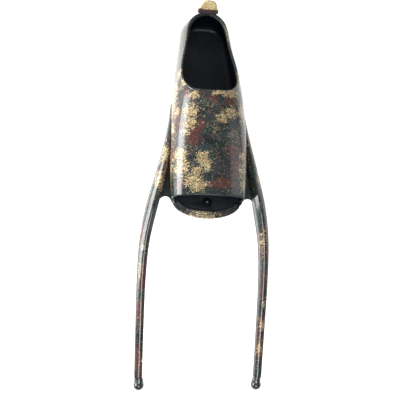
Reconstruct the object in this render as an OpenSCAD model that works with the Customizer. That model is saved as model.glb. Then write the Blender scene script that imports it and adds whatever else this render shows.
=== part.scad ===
// Full-foot pocket of a long-blade swim fin, without its blade.
// The pocket stands on the back of its heel and on the tips of its two rails.

/* [Foot pocket] */
// Length of the sole from the back of the heel to the toe opening
pocket_len = 276; // [260:1:290]
// Outer width at the heel
heel_w = 74; // [70:1:78]
// Outer width at the ball of the foot
ball_w = 106; // [100:1:110]
// Height of the instep over the sole
instep_h = 76; // [72:1:82]
// Height of the lip over the toe opening
toe_h = 45; // [42:1:48]
// Thickness of the soft walls
wall_t = 3.5; // [3:0.5:4.5]
// Length of the tongue in front of the toe opening
tongue_len = 24; // [20:1:28]
// Radius of the bead round the foot opening
rim_r = 2.8; // [2.4:0.1:3.2]

/* [Sole] */
// Thickness of the stiff sole plate
plate_t = 6; // [5:0.5:7]
// Thickness of the soft footbed
bed_t = 3; // [2:0.5:4]
// Thickness of the grip pads
pad_t = 4; // [3:0.5:5]
// Height of the slot that takes the end of the blade
slot_h = 3; // [2:0.5:3.5]
// Thickness of the plate below that slot
seat_t = 5; // [5:0.5:6]

/* [Rails] */
// Width over both rails at their widest
rail_span = 181; // [176:1:190]
// Length of the free part of a rail, from the web to its tip
rail_len = 267; // [240:1:290]
// Height of a rail at its root
rail_root_h = 33; // [28:1:36]
// Height of a rail just before its tip
rail_tip_h = 12; // [10:1:13]
// Depth of the blade slot in a rail
groove_d = 6; // [5:0.5:7]
// Radius of the round end on a rail
bulb_r = 7.3; // [6.8:0.1:8]

/* [Stance] */
// Angle of the sole to the ground
sole_pitch = 12.5; // [10:0.5:14]
// Height of the sole plate's underside over the ground at the heel
heel_lift = 2.25; // [2:0.25:3]

/* [Hidden] */

camo = "#3c4a46";
rubber = "#1c2426";
foam = "#151b20";
steel = "#b9bcc0";
cream = "#d8c48f";

heel_hw = heel_w / 2;
ball_hw = ball_w / 2;
belly_h = 22;
heel_round = 36;
gap = 0.3;
seam = 0.1;

// Knots of the pocket's outline, [distance from the heel, half width]
half_knots = [[0, heel_hw], [35, heel_hw + 0.5], [100, heel_hw + 9], [180, ball_hw - 0.5],
    [235, ball_hw - 0.5], [300, ball_hw - 6]];
// Knots of the pocket's roof, [distance from the heel, height]; over the foot opening it isn't there
opening_front = 146;
roof_knots = [[0, instep_h - 8], [60, instep_h + 1], [105, instep_h + 4], [opening_front, instep_h],
    [204, instep_h - 13], [250, toe_h + 7], [280, toe_h], [300, toe_h - 5]];
// Knots of the rim of the foot opening, seen from the side
rim_knots = [[-20, 52], [0, 49], [22, 46], [55, 44.5], [90, 48.5], [118, 56.5], [136, 66],
    [opening_front, instep_h - wall_t / 2], [opening_front + 4, instep_h + 14]];
// The line where the heel counter ends and the upper begins
seam_s = 46;
fold_s = 12;
fold_r = 2.4;
fold_h = plate_t + bed_t + fold_r + gap;

// Rails: distances along a rail are counted from the front edge of its web
crotch_s = pocket_len - 5;
crotch_h = 3;
root_len = 126;
root_drop = 34;
flex_r = 18;
knuckle_r = rail_root_h / 2;
outer_knots = [[-140, ball_hw - 4], [-90, ball_hw + 3], [-40, ball_hw + 15],
    [10, rail_span / 2 - 9.5], [55, rail_span / 2 - 2.2], [105, rail_span / 2],
    [180, rail_span / 2 - 0.6], [rail_len, rail_span / 2 - 2]];
width_knots = [[-140, 8], [-60, 12], [0, 15.5], [25, 15.5], [70, 13.5], [140, 12], [rail_len, 11]];
height_knots = [[-140, 16], [-70, 26], [0, rail_root_h], [flex_r, rail_root_h],
    [80, rail_root_h * 0.66], [160, rail_root_h * 0.46], [rail_len, rail_tip_h]];

heel_y = 254.255;
crotch_y = heel_y - crotch_s * cos(sole_pitch) + crotch_h * sin(sole_pitch);
crotch_z = heel_lift + crotch_s * sin(sole_pitch) + crotch_h * cos(sole_pitch);
tip_r = rail_len - bulb_r;
rail_pitch = asin((crotch_z - bulb_r) / tip_r);
end_r = rail_len - 2 * bulb_r;

hole_s = pocket_len + 2;
insert_r = 5;
flange_t = 1.2;
flange_r = 6;
bush_bore_r = 2.75;
nut_bore_r = 2.1;
big = 400;

// Smooth curve through a list of [x, y] knots
function span(k, x, i = 0) = (i >= len(k) - 2 || x < k[i + 1][0]) ? i : span(k, x, i + 1);
function slope(k, i) = let (a = max(0, i - 1), b = min(len(k) - 1, i + 1))
    (k[b][1] - k[a][1]) / (k[b][0] - k[a][0]);
function curve(k, x) = let (i = span(k, x), d = k[i + 1][0] - k[i][0],
    u = min(1, max(0, (x - k[i][0]) / d)))
    k[i][1] * (1 + 2 * u) * pow(1 - u, 2) + slope(k, i) * d * u * pow(1 - u, 2)
    + k[i + 1][1] * u * u * (3 - 2 * u) - slope(k, i + 1) * d * u * u * (1 - u);

// How far the pocket has opened out at a distance s from the back of the heel
function bulge(s) = s >= heel_round ? 1 : pow(1 - pow(1 - max(s, 0.05) / heel_round, 2.5), 0.4);
function half_w(s, t) = (curve(half_knots, s) - t) * bulge(s - t);
function roof(s, t) = belly_h + (curve(roof_knots, s) - t - belly_h) * bulge(s - t);
function power(v, n) = sign(v) * pow(abs(v), 2 / n);

// How square the upper half of a cross-section is: over the heel the walls lean in
heel_power = 1.5;
toe_power = 2.4;
function upper_power(s) = let (u = min(1, max(0, (s - 50) / 90)))
    heel_power + (toe_power - heel_power) * u * u * (3 - 2 * u);

// One cross-section of the pocket, t inside its outer face and standing on height base
function section(s, t, base, sides = 28) = [for (i = [0 : sides - 1])
    let (a = 360 * i / sides, n = a < 180 ? upper_power(s) : 5, c = power(cos(a), n),
        d = power(sin(a), n))
    [half_w(s, t) * c, -s,
        d >= 0 ? belly_h + (roof(s, t) - belly_h) * d
               : belly_h + (belly_h - base) * bulge(s - t) * d]];

// Half width of the pocket's outer face at height h
function wall_x(s, h, t) = let (u = max(0, (h - belly_h) / (roof(s, t) - belly_h)))
    u >= 1 ? 0 : half_w(s, t) * pow(1 - pow(u, upper_power(s)), 1 / upper_power(s));

// Closed skin over a list of rings with the same number of points
module loft(rings) {
    n = len(rings[0]);
    m = len(rings);
    polyhedron(
        points = [for (r = rings) each r],
        faces = concat(
            [[for (j = [0 : n - 1]) j]],
            [[for (j = [n - 1 : -1 : 0]) (m - 1) * n + j]],
            [for (i = [0 : m - 2]) for (j = [0 : n - 1]) each [
                [i * n + j, (i + 1) * n + j, (i + 1) * n + (j + 1) % n],
                [i * n + j, (i + 1) * n + (j + 1) % n, i * n + (j + 1) % n]]]));
}

// Round bead along a list of points
bead_sides = 10;
function unit(v) = v / max(norm(v), 0.001);
function ring_at(pts, i, r) = let (a = pts[max(0, i - 1)], b = pts[min(len(pts) - 1, i + 1)],
    f = unit(b - a), u = unit(cross(f, [0, 0.2, 1])), w = cross(f, u))
    [for (k = [0 : bead_sides - 1]) let (turn = 360 * k / bead_sides)
        pts[i] + r * (cos(turn) * u + sin(turn) * w)];
module bead(pts, r) {
    loft([for (i = [0 : len(pts) - 1]) ring_at(pts, i, r)]);
}

// The sole's frame: toe towards -Y, up away from the sole
module on_sole() {
    translate([0, heel_y, heel_lift]) rotate([-sole_pitch, 0, 0]) children();
}

// The rails' frame: tips towards -Y, at the height of the rail's middle
module on_rails() {
    translate([0, crotch_y, crotch_z]) rotate([rail_pitch, 0, 0]) children();
}

// A flat outline in the Y-Z plane, given as [-y, z], made thick in X
module side_cut(pts, thick = big) {
    rotate([90, 0, 90]) linear_extrude(thick, center = true)
        polygon([for (p = pts) [-p[0], p[1]]]);
}

stations = concat([for (a = [6 : 12 : 90]) heel_round * (1 - cos(a))],
    [for (s = [46 : 16 : 302]) s]);
inner_stations = concat([for (a = [6 : 12 : 90]) wall_t + heel_round * (1 - cos(a))],
    [for (s = [48 : 16 : 304]) s]);

module outer_last(grow = 0) {
    loft([for (s = stations) section(s, -grow, -grow)]);
}

module inner_last() {
    loft([for (s = inner_stations) section(s, wall_t, plate_t - wall_t)]);
}

// Everything above the rim of the foot opening
module above_rim() {
    side_cut(concat([for (s = [-20 : 6 : 124]) [s, curve(rim_knots, s)]],
        [for (s = [128 : 2 : opening_front + 4]) [s, curve(rim_knots, s)]],
        [[opening_front + 4, 130], [-20, 130]]));
}

// Everything in front of the toe opening
function toe_s(h) = pocket_len - 2 + 7 * h / toe_h;
module past_toe() {
    side_cut([[toe_s(-10), -10], [toe_s(90), 90], [340, 90], [340, -10]]);
}

module pocket_wall() {
    difference() {
        outer_last();
        inner_last();
        above_rim();
        past_toe();
        translate([-big / 2, -big, -big]) cube([big, 2 * big, big + plate_t]);
    }
}

// The heel's side view, grown by g; the counter folds back about the bead on the sole
module counter_side(low, g) {
    difference() {
        side_cut([[-20, fold_h - g + 32 * tan(low)], [fold_s, fold_h - g], [seam_s - gap + g, fold_h - g],
            [seam_s - gap + g, 140], [-20, 140]]);
        fold_bar(fold_r - 0.01);
    }
    fold_bar(fold_r + g);
}

module fold_bar(r) {
    translate([0, -fold_s, fold_h]) rotate([0, 90, 0]) cylinder(h = big, r = r, center = true, $fn = 64);
}

module upper_shell() {
    color(camo) on_sole() difference() {
        pocket_wall();
        counter_side(-9, gap);
    }
}

module heel_counter() {
    color(camo) on_sole() intersection() {
        pocket_wall();
        counter_side(12, 0);
    }
}

// Points of the rim on one side, from the heel's end to the instep's end
rim_full = pow((curve(rim_knots, 6) - belly_h) / (curve(roof_knots, 6) - wall_t / 2 - belly_h), 2.5);
rim_back = wall_t / 2 + heel_round * (1 - pow(1 - rim_full, 0.4));
function rim_s(u) = rim_back + (opening_front - rim_back) * (1 - cos(180 * u)) / 2;
function rim_point(s, side) = let (h = min(curve(rim_knots, s), roof(s, wall_t / 2)))
    [side * wall_x(s, h, wall_t / 2), -s, h];
rim_steps = 26;
rim_stops = [for (i = [0 : rim_steps]) rim_s(i / rim_steps)];
function both_ways(p) = concat([for (s = p) rim_point(s, 1)],
    [for (i = [len(p) - 2 : -1 : 0]) rim_point(p[i], -1)]);
function front_stops() = concat([seam_s + gap], [for (s = rim_stops) if (s > seam_s + 2) s]);
function heel_stops() = concat([seam_s - gap], [for (i = [rim_steps : -1 : 0])
    if (rim_stops[i] < seam_s - 2) rim_stops[i]]);

module opening_rim() {
    color(rubber) on_sole() bead(both_ways(front_stops()), rim_r);
}

module heel_rim() {
    color(rubber) on_sole() bead(both_ways(heel_stops()), rim_r);
}

module toe_lip() {
    color(rubber) on_sole() bead([for (a = [14 : 8 : 166])
        let (h = belly_h + (toe_h - wall_t / 2 - belly_h) * power(sin(a), toe_power))
        [half_w(pocket_len, wall_t / 2) * power(cos(a), toe_power), -toe_s(h), h]], rim_r);
}

tab_r = 2.4;
tab_base_h = curve(rim_knots, rim_back) + rim_r + tab_r + gap;
tab_lean = 16;
tab_len = 18;
module heel_pull_tab() {
    color(cream) on_sole() translate([0, -rim_back, tab_base_h]) rotate([-tab_lean, 0, 0]) {
        rotate([0, 90, 0]) cylinder(h = 26, r = tab_r, center = true, $fn = 32);
        translate([0, 1.8, 0]) rotate([90, 0, 0]) linear_extrude(3.6) union() {
            translate([0, tab_len - 9]) scale([1.25, 1]) circle(9, $fn = 48);
            polygon([[-13, 0], [13, 0], [11.25, tab_len - 9], [-11.25, tab_len - 9]]);
        }
    }
}

// Outline of the sole between two distances from the heel, inset by t
heel_set = 5;
function flank(s, t) = (curve(half_knots, s) - 2.5 - t) * bulge(s - t - heel_set);
function sole_side(from, to, t, n) = [for (i = [0 : n])
    let (s = from + (to - from) * i / n) [flank(s, t), -s]];
function both_sides(p) = concat(p, [for (i = [len(p) - 1 : -1 : 0]) [-p[i][0], p[i][1]]]);
function tongue_arc(t, n = 12) = [for (i = [0 : n])
    [(flank(pocket_len, 0) - t) * cos(90 * i / n),
        -pocket_len - (tongue_len - t) * sin(90 * i / n)]];

module sole_plate() {
    color(rubber) on_sole() difference() {
        linear_extrude(plate_t) polygon(both_sides(concat(
            sole_side(heel_set + 0.1, heel_round, 0, 12),
            sole_side(46, pocket_len, 0, 16),
            tongue_arc(8))));
        screw_hole(insert_r, 40);
    }
}

module footbed() {
    color(foam) on_sole() intersection() {
        inner_last();
        translate([-big / 2, -pocket_len + 14, plate_t]) cube([big, pocket_len, bed_t]);
    }
}

module toe_bumper() {
    color(camo) on_sole() for (layer = [0 : 1]) difference() {
        translate([0, 0, layer * plate_t]) linear_extrude(layer == 0 ? plate_t : 3.5)
            polygon(both_sides(concat([[flank(pocket_len, layer * 1.5), 1 - pocket_len]],
                tongue_arc(layer * 1.5))));
        translate([0, 0, -1]) linear_extrude(2 * plate_t)
            polygon(both_sides(concat([[flank(pocket_len, 8), 5 - pocket_len]], tongue_arc(8))));
        translate([-big / 2, -pocket_len, -1]) cube([big, big, 2 * plate_t]);
    }
}

module grip_pad(from, to, t, pitch) {
    difference() {
        translate([0, 0, -t]) linear_extrude(t)
            polygon(both_sides(sole_side(from, to, 5, 14)));
        for (s = [from + pitch : pitch : to - 4])
            translate([-big / 2, -s - 1, -t - 1]) cube([big, 2, 2.5]);
    }
}

module heel_grip_pad() {
    color(rubber) difference() {
        on_sole() grip_pad(heel_set + 5.1, 78, pad_t + 2, 12);
        translate([-big, -big, -big]) cube([2 * big, 2 * big, big]);
    }
}

module forefoot_grip_pad() {
    color(rubber) on_sole() grip_pad(150, 208, pad_t, 10);
}

module arch_ribs() {
    color(rubber) on_sole() for (x = [-16, 0, 16])
        translate([x - 2, -146, -pad_t]) cube([4, 64, pad_t]);
}

seat_from = 214;
module blade_seat() {
    color(rubber) on_sole() difference() {
        translate([0, 0, -slot_h - seat_t]) linear_extrude(slot_h + seat_t)
            polygon(both_sides(concat(sole_side(seat_from, pocket_len, 6, 6), tongue_arc(6))));
        translate([-flank(250, 12), -320, -slot_h]) cube([2 * flank(250, 12), 314 - seat_from, 20]);
        screw_hole(insert_r, 40);
    }
}

// The blade's screw goes up through the bush and the blade into the flanged nut in the tongue
module screw_hole(r, h) {
    translate([0, -hole_s, -h / 2]) cylinder(h = h, r = r, $fn = 48);
}

// Round insert from height z up, with a flange on its upper or its lower end
module insert(z, h, bore_r, flange_z) {
    color(steel) on_sole() difference() {
        union() {
            translate([0, -hole_s, z]) cylinder(h = h, r = insert_r, $fn = 48);
            translate([0, -hole_s, flange_z]) cylinder(h = flange_t, r = flange_r, $fn = 48);
        }
        screw_hole(bore_r, 40);
    }
}

module screw_bush() {
    insert(-slot_h - seat_t, seat_t, bush_bore_r, -slot_h - seat_t - flange_t);
}

module blade_nut() {
    insert(0, plate_t, nut_bore_r, plate_t);
}

// A rail from above, between two distances along it, its inner side moved out by grow
function rail_outer(r) = curve(outer_knots, r);
function rail_inner(r) = rail_outer(r) - curve(width_knots, r);
module rail_plan(from, to, n, grow = 0) {
    translate([0, 0, -100]) linear_extrude(200) polygon(concat(
        [for (i = [0 : n]) let (r = from + (to - from) * i / n) [rail_outer(r), -r]],
        [for (i = [n : -1 : 0]) let (r = from + (to - from) * i / n) [rail_inner(r) - grow, -r]]));
}

// A rail from the side
function rail_mid(r) = r >= 0 ? 0 : -root_drop * pow(r / root_len, 2);
function rail_edge(r, side) = rail_mid(r) + side * curve(height_knots, r) / 2;
module rail_side(from, to, n) {
    side_cut(concat(
        [for (i = [0 : n]) let (r = from + (to - from) * i / n) [r, rail_edge(r, 1)]],
        [for (i = [n : -1 : 0]) let (r = from + (to - from) * i / n) [r, rail_edge(r, -1)]]));
}

// The slot along the inner face that grips the blade's edge
module groove(from, to, n) {
    intersection() {
        translate([0, 0, -100]) linear_extrude(200) polygon(concat(
            [for (i = [0 : n]) let (r = from + (to - from) * i / n)
                [rail_inner(r) + groove_d, -r]],
            [for (i = [n : -1 : 0]) let (r = from + (to - from) * i / n) [rail_inner(r) - 5, -r]]));
        translate([0, -big / 2, -slot_h / 2]) cube([big, big, slot_h]);
    }
}

module rail_axis_bar(r) {
    translate([0, -flex_r, 0]) rotate([0, 90, 0]) cylinder(h = 2 * big, r = r, center = true, $fn = 96);
}

module rail_root() {
    on_rails() difference() {
        intersection() {
            rail_plan(-root_len, flex_r - 8, 18);
            rail_side(-root_len, flex_r - 8, 18);
        }
        rail_axis_bar(knuckle_r + gap);
        groove(0, flex_r, 4);
    }
}

module rail_root_trimmed() {
    difference() {
        rail_root();
        on_sole() outer_last(seam);
    }
}

module rail() {
    on_rails() difference() {
        intersection() {
            rail_plan(flex_r - knuckle_r - 1, end_r, 24);
            union() {
                rail_side(flex_r, end_r, 22);
                rail_axis_bar(knuckle_r);
            }
            translate([0, -end_r, -60]) cube([big, end_r - flex_r + knuckle_r + 2, 120]);
        }
        groove(flex_r - knuckle_r - 2, end_r + 2, 24);
    }
}

neck_r = bulb_r - 1;
module rail_tip() {
    on_rails() translate([rail_outer(tip_r) - bulb_r + 0.8, -tip_r, 0]) rotate([-90, 0, 0])
        rotate_extrude($fn = 72) intersection() {
            union() {
                circle(bulb_r, $fn = 72);
                square([neck_r, bulb_r]);
            }
            translate([0, -bulb_r]) square(2 * bulb_r);
        }
}

// Thin sheet that ties a rail to the pocket's side
web_len = 84;
web_t = 4.5;
function web_z(r) = rail_mid(r) + 8 * r / web_len;
module web_sheet() {
    on_rails() loft([for (i = [0 : 8]) let (r = -web_len + (web_len + 8) * i / 8, z = web_z(r),
            in = 30, out = rail_inner(r) + 4)
        [[in, -r, z - web_t / 2], [out, -r, z - web_t / 2],
            [out, -r, z + web_t / 2], [in, -r, z + web_t / 2]]]);
}

module web() {
    difference() {
        web_sheet();
        on_rails() rail_plan(-root_len, 12, 18, seam);
        on_sole() outer_last(seam);
        on_sole() translate([0, 0, -20]) linear_extrude(20 + plate_t)
            polygon(both_sides(concat(sole_side(46, pocket_len, 0, 16), tongue_arc(0))));
        on_rails() translate([56.5, -8, -60]) cylinder(h = 120, r = 8.5, $fn = 64);
        on_rails() translate([30, -8 - big, -60]) cube([100, big, 120]);
    }
}

module left() {
    mirror([1, 0, 0]) children();
}

module left_rail_root() { color(camo) left() rail_root_trimmed(); }
module right_rail_root() { color(camo) rail_root_trimmed(); }
module left_web() { color(rubber) left() web(); }
module right_web() { color(rubber) web(); }
module left_rail() { color(camo) left() rail(); }
module right_rail() { color(camo) rail(); }
module left_rail_tip() { color(camo) left() rail_tip(); }
module right_rail_tip() { color(camo) rail_tip(); }

upper_shell();
opening_rim();
toe_lip();
heel_counter();
heel_rim();
heel_pull_tab();
sole_plate();
footbed();
toe_bumper();
heel_grip_pad();
forefoot_grip_pad();
arch_ribs();
blade_seat();
screw_bush();
blade_nut();
left_rail_root();
right_rail_root();
left_web();
right_web();
left_rail();
right_rail();
left_rail_tip();
right_rail_tip();
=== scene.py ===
"""The looks of the full-foot fin pocket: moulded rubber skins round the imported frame, and its studio."""

import math

import bmesh
import bpy
import numpy as np
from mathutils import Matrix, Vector


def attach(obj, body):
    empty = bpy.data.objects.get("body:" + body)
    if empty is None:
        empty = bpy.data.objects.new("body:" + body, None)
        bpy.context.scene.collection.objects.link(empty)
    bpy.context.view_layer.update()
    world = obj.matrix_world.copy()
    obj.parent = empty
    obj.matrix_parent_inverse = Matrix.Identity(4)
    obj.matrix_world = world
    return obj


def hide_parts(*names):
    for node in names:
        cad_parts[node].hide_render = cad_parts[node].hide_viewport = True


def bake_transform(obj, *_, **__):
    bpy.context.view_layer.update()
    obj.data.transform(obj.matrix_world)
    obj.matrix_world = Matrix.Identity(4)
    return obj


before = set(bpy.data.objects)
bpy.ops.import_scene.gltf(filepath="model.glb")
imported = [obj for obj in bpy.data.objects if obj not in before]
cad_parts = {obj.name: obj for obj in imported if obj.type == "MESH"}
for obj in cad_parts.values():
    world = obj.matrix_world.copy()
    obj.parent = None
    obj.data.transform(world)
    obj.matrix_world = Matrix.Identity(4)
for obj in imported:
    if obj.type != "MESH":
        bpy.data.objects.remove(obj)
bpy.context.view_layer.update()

# ---------------------------------------------------------------- sizes, in millimetres and degrees
MM = 0.001
POCKET_LEN = 276.0
WALL_T = 3.5
INSTEP_H = 76.0
TOE_H = 45.0
TONGUE_LEN = 24.0
PLATE_T = 6.0
BED_T = 3.0
BELLY_H = 22.0
HEEL_ROUND = 36.0
HEEL_SET = 5.0
HEEL_Y = 254.255
HEEL_LIFT = 2.25
SOLE_PITCH = math.radians(12.5)
OPENING_FRONT = 146.0
HEEL_HW = 37.0
BALL_HW = 53.0
RAIL_SPAN = 181.0
RAIL_LEN = 267.0
RAIL_ROOT_H = 33.0
RAIL_TIP_H = 12.0
BULB_R = 7.3
SLOT_H = 3.0
GROOVE_D = 6.0
ROOT_LEN = 126.0
ROOT_DROP = 34.0
WEB_LEN = 84.0
WEB_T = 4.5
CROTCH_S = 271.0
CROTCH_H = 3.0
CROTCH_Y = HEEL_Y - CROTCH_S * math.cos(SOLE_PITCH) + CROTCH_H * math.sin(SOLE_PITCH)
CROTCH_Z = HEEL_LIFT + CROTCH_S * math.sin(SOLE_PITCH) + CROTCH_H * math.cos(SOLE_PITCH)
TIP_R = RAIL_LEN - BULB_R
RAIL_PITCH = math.asin((CROTCH_Z - BULB_R) / TIP_R)
HEEL_POWER = 1.5
TOE_POWER = 2.4
LOWER_POWER = 5.0

HALF_KNOTS = [(0, HEEL_HW), (35, HEEL_HW + 0.5), (100, HEEL_HW + 9), (180, BALL_HW - 0.5),
              (235, BALL_HW - 0.5), (300, BALL_HW - 6)]
ROOF_KNOTS = [(0, INSTEP_H - 8), (60, INSTEP_H + 1), (105, INSTEP_H + 4), (OPENING_FRONT, INSTEP_H),
              (204, INSTEP_H - 13), (250, TOE_H + 7), (280, TOE_H), (300, TOE_H - 5)]
RIM_KNOTS = [(-20, 52), (0, 49), (22, 46), (55, 44.5), (90, 48.5), (118, 56.5), (136, 66),
             (OPENING_FRONT, INSTEP_H - WALL_T / 2), (OPENING_FRONT + 4, INSTEP_H + 14)]
OUTER_KNOTS = [(-140, BALL_HW - 4), (-90, BALL_HW + 3), (-40, BALL_HW + 15),
               (10, RAIL_SPAN / 2 - 9.5), (55, RAIL_SPAN / 2 - 2.2), (105, RAIL_SPAN / 2),
               (180, RAIL_SPAN / 2 - 0.6), (RAIL_LEN, RAIL_SPAN / 2 - 2)]
WIDTH_KNOTS = [(-140, 8), (-60, 12), (0, 15.5), (25, 15.5), (70, 13.5), (140, 12), (RAIL_LEN, 11)]
HEIGHT_KNOTS = [(-140, 16), (-70, 26), (0, RAIL_ROOT_H), (18, RAIL_ROOT_H), (80, 0.66 * RAIL_ROOT_H),
                (160, 0.46 * RAIL_ROOT_H), (RAIL_LEN, RAIL_TIP_H)]


# ---------------------------------------------------------------- curves and frames
def curve(knots, x):
    """Smooth curve through knots, for a number or an array."""
    k = np.array(knots, float)
    x = np.clip(np.asarray(x, float), k[0, 0], k[-1, 0])
    last = len(k) - 1
    slopes = np.array([(k[min(last, i + 1), 1] - k[max(0, i - 1), 1])
                       / (k[min(last, i + 1), 0] - k[max(0, i - 1), 0]) for i in range(len(k))])
    i = np.clip(np.searchsorted(k[:, 0], x, side="right") - 1, 0, last - 1)
    d = k[i + 1, 0] - k[i, 0]
    u = (x - k[i, 0]) / d
    return (k[i, 1] * (1 + 2 * u) * (1 - u) ** 2 + slopes[i] * d * u * (1 - u) ** 2
            + k[i + 1, 1] * u * u * (3 - 2 * u) - slopes[i + 1] * d * u * u * (1 - u))


def smooth(a, b, x):
    """0 before a, 1 after b, smooth between them."""
    t = np.clip((np.asarray(x, float) - a) / (b - a), 0, 1)
    return t * t * (3 - 2 * t)


def bulge(s):
    """How far the heel's round end has opened at distance s: 0 at its back, 1 from HEEL_ROUND on."""
    inside = 1 - np.clip(np.asarray(s, float), 0.001, HEEL_ROUND) / HEEL_ROUND
    return (1 - inside ** 2.5) ** 0.4


def half_w(s, t):
    """Half width of the pocket, t inside its outer face."""
    return (curve(HALF_KNOTS, s) - t) * bulge(s - t)


def roof(s, t):
    """Height of the pocket's middle line, t inside its outer face."""
    return BELLY_H + (curve(ROOF_KNOTS, s) - t - BELLY_H) * bulge(s - t)


def upper_power(s):
    """How square the upper half of a cross-section is: over the heel the walls lean in."""
    return HEEL_POWER + (TOE_POWER - HEEL_POWER) * smooth(50, 140, s)


def wall_x(s, h, t, base=0.0):
    """Half width of the pocket at height h, t inside its outer face."""
    power = upper_power(s)
    up = np.clip((h - BELLY_H) / (roof(s, t) - BELLY_H), 0, 1)
    down = np.clip((BELLY_H - h) / ((BELLY_H - base) * bulge(s - t)), 0, 1)
    return half_w(s, t) * np.where(h >= BELLY_H, (1 - up ** power) ** (1 / power),
                                   (1 - down ** LOWER_POWER) ** (1 / LOWER_POWER))


def flank(s, t):
    """Half width of the sole plate, inset by t."""
    return (curve(HALF_KNOTS, s) - 2.5 - t) * bulge(s - t - HEEL_SET)


def toe_s(h):
    """Where the slanting toe opening cuts the pocket at height h."""
    return POCKET_LEN - 2 + 7 * h / TOE_H


def on_sole(x, s, h):
    """Row-frame points, in metres, of points in the sole's frame."""
    x, s, h = np.broadcast_arrays(x, s, h)
    return np.stack([x, HEEL_Y - s * math.cos(SOLE_PITCH) + h * math.sin(SOLE_PITCH),
                     HEEL_LIFT + s * math.sin(SOLE_PITCH) + h * math.cos(SOLE_PITCH)], -1) * MM


def on_rails(x, r, z):
    """Row-frame points, in metres, of points in the rails' frame."""
    x, r, z = np.broadcast_arrays(x, r, z)
    return np.stack([x, CROTCH_Y - r * math.cos(RAIL_PITCH) - z * math.sin(RAIL_PITCH),
                     CROTCH_Z - r * math.sin(RAIL_PITCH) + z * math.cos(RAIL_PITCH)], -1) * MM


def to_sole(points):
    """(x, s, h) in the sole's frame, in millimetres, of row-frame points in metres."""
    p = np.asarray(points, float) / MM
    y, z = p[..., 1] - HEEL_Y, p[..., 2] - HEEL_LIFT
    c, d = math.cos(SOLE_PITCH), math.sin(SOLE_PITCH)
    return p[..., 0], -y * c + z * d, y * d + z * c


def rail_outer(r):
    return curve(OUTER_KNOTS, r)


def rail_inner(r):
    return rail_outer(r) - curve(WIDTH_KNOTS, r)


def rail_mid(r):
    r = np.asarray(r, float)
    return np.where(r >= 0, 0.0, -ROOT_DROP * (r / ROOT_LEN) ** 2)


# ---------------------------------------------------------------- camouflage patches
# Each patch is (x, distance from the heel, half size in x, half size along the sole), on the instep
CREAM_TOP = [(-25, 152, 7, 7), (-29, 172, 11, 10), (-30, 188, 8, 8), (-36, 198, 6, 5), (-41, 228, 10, 9),
             (-40, 246, 11, 10), (-28, 264, 9, 8), (-18, 270, 13, 7), (-12, 235, 9, 8), (-9, 245, 8, 8),
             (-20, 254, 6, 8), (25, 173, 10, 8), (13, 182, 10, 5), (1, 150, 4, 3), (9, 148, 8, 3),
             (22, 149, 11, 4), (29, 144, 7, 6), (42, 227, 5, 7), (41, 246, 5, 9), (43, 263, 5, 7),
             (-46, 168, 5, 7), (-50, 187, 5, 9), (-37, 104, 4, 8), (-38, 128, 4, 8)]
FLECKS_TOP = [(28, 204, 12, 15), (33, 160, 9, 9), (24, 216, 10, 8), (40, 236, 6, 22), (-36, 212, 8, 10),
              (-6, 164, 14, 12), (4, 196, 16, 12), (-30, 256, 14, 14), (-40, 52, 9, 22)]
MAROON_TOP = [(-34, 148, 8, 11), (-40, 189, 8, 8), (-25, 206, 11, 16), (29, 223, 13, 9), (15, 267, 23, 8),
              (-42, 266, 6, 8), (25, 156, 11, 10), (32, 243, 9, 15), (-15, 190, 7, 8), (2, 158, 8, 8)]


def on_roof(patch):
    """The patch's place and radii in the sole's frame, its centre on the pocket's outer face."""
    x, s, rx, rs = patch
    share = min(abs(x) / float(half_w(s, 0)), 0.995)
    power = float(upper_power(s))
    h = BELLY_H + (float(roof(s, 0)) - BELLY_H) * (1 - share ** power) ** (1 / power)
    return (x, s, h, rx, rs, 1.3 * rx)


def on_side(rng, low, high):
    """A random patch on the pocket's flanks or heel."""
    s = rng.uniform(2, 262)
    top = float(min(curve(RIM_KNOTS, s), roof(s, 0) - 12)) if s < OPENING_FRONT else float(roof(s, 0)) - 16
    h = rng.uniform(8, max(top, 20))
    size = rng.uniform(low, high)
    x = rng.choice([-1, 1]) * float(wall_x(max(s, 3), h, 0))
    return (x, s, h, 0.8 * size, size * rng.uniform(0.9, 1.7), size)


def on_rail(rng, low, high):
    """A random patch on a rail, in the rails' frame of its own side."""
    r = rng.uniform(-95, 262)
    size = rng.uniform(low, high)
    x = rng.uniform(float(rail_inner(r)) - 1, float(rail_outer(r)) + 1)
    return (x, r, float(rail_mid(r)) + rng.uniform(-12, 12), 0.45 * size, size, 0.8 * size)


def cover(points, patches):
    """How deep each point is in the nearest patch: 1 at its centre, 0.37 at its edge, less outside."""
    p = np.asarray(points, float).reshape(-1, 3)
    best = np.zeros(len(p))
    for x, s, h, rx, rs, rh in patches:
        away = ((p[:, 0] - x) / rx) ** 2 + ((p[:, 1] - s) / rs) ** 2 + ((p[:, 2] - h) / rh) ** 2
        best = np.maximum(best, np.exp(-away))
    return best


patch_rng = np.random.default_rng(7)
POCKET_CREAM = [on_roof(p) for p in CREAM_TOP] + [on_side(patch_rng, 6, 13) for _ in range(34)]
POCKET_FLECKS = [on_roof(p) for p in FLECKS_TOP] + [on_side(patch_rng, 10, 18) for _ in range(16)]
POCKET_MAROON = [on_roof(p) for p in MAROON_TOP] + [on_side(patch_rng, 10, 20) for _ in range(26)]
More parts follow.
